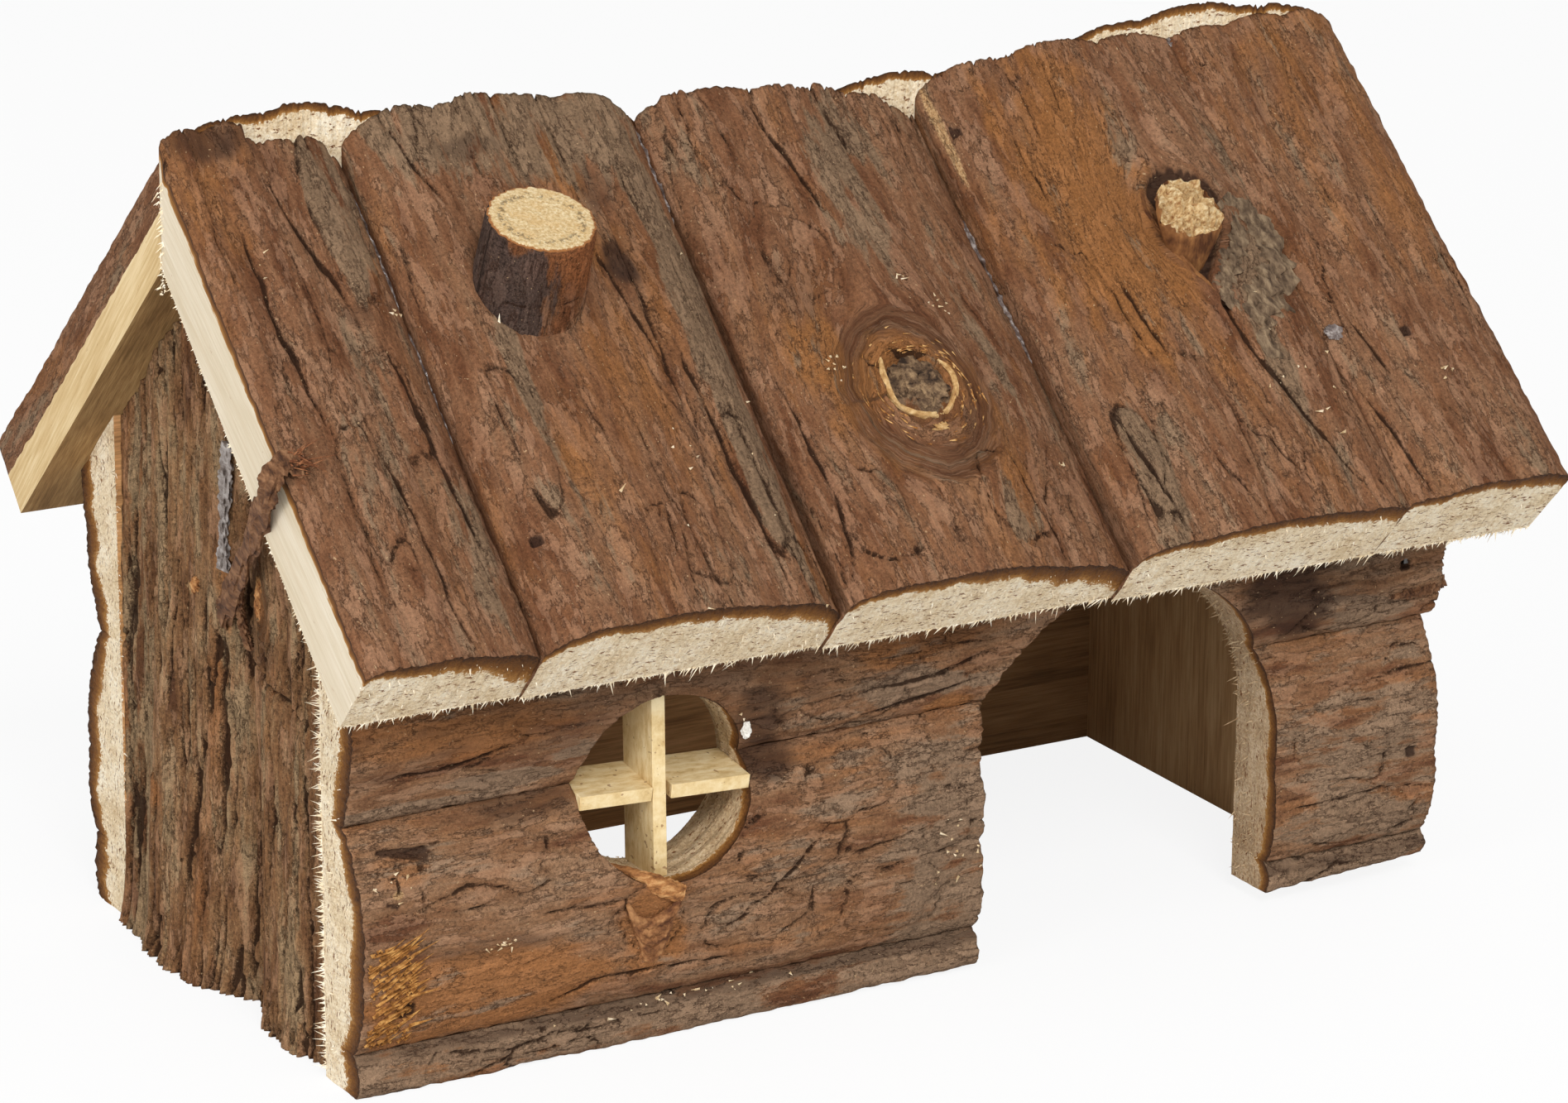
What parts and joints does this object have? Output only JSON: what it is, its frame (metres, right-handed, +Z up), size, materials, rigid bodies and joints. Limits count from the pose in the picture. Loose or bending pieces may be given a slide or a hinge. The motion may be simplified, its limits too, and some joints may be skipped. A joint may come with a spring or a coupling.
{
  "type": "small pet house",
  "caption": "Floorless wooden hamster house of bark slabs with a gable roof, arched door, round window with a slat cross and a branch chimney.",
  "frame": {"origin": "centre of the footprint of the whole house, on the surface that the walls stand on", "axes": "+X along the ridge, to the right seen from the door side; +Y from the front wall to the back wall, so the door faces -Y; +Z up"},
  "size_m": [0.26, 0.1772, 0.1722],
  "materials": {
    "roof_slab_wood": "natural bark outside, sawn pale wood inside and at the ends",
    "wall_slab_wood": "natural bark outside, sawn pale wood inside and at the ends",
    "branch_wood": "dark bark with pale sawn ends",
    "slat_wood": "sawn pale softwood",
    "brad_steel": "bare steel, driven below the bark"
  },
  "bodies": {
    "root": {"back_roof_brads": "brad_steel", "back_wall_bottom_slab": "wall_slab_wood", "back_wall_brads": "brad_steel", "back_wall_middle_slab": "wall_slab_wood", "back_wall_top_slab": "wall_slab_wood", "chimney_branch": "branch_wood", "front_roof_brads": "brad_steel", "front_wall_bottom_left_slab": "wall_slab_wood", "front_wall_bottom_right_slab": "wall_slab_wood", "front_wall_brads": "brad_steel", "front_wall_middle_left_slab": "wall_slab_wood", "front_wall_middle_right_slab": "wall_slab_wood", "front_wall_top_slab": "wall_slab_wood", "left_gable_front_slab": "wall_slab_wood", "left_gable_rear_slab": "wall_slab_wood", "right_gable_front_slab": "wall_slab_wood", "right_gable_rear_slab": "wall_slab_wood", "roof_back_slab_1": "roof_slab_wood", "roof_back_slab_2": "roof_slab_wood", "roof_back_slab_3": "roof_slab_wood", "roof_back_slab_4": "roof_slab_wood", "roof_front_slab_1": "roof_slab_wood", "roof_front_slab_2": "roof_slab_wood", "roof_front_slab_3": "roof_slab_wood", "roof_front_slab_4": "roof_slab_wood", "roof_front_slab_5": "roof_slab_wood", "window_cross_slat": "slat_wood", "window_upright_slat": "slat_wood"}
  },
  "joints": []
}
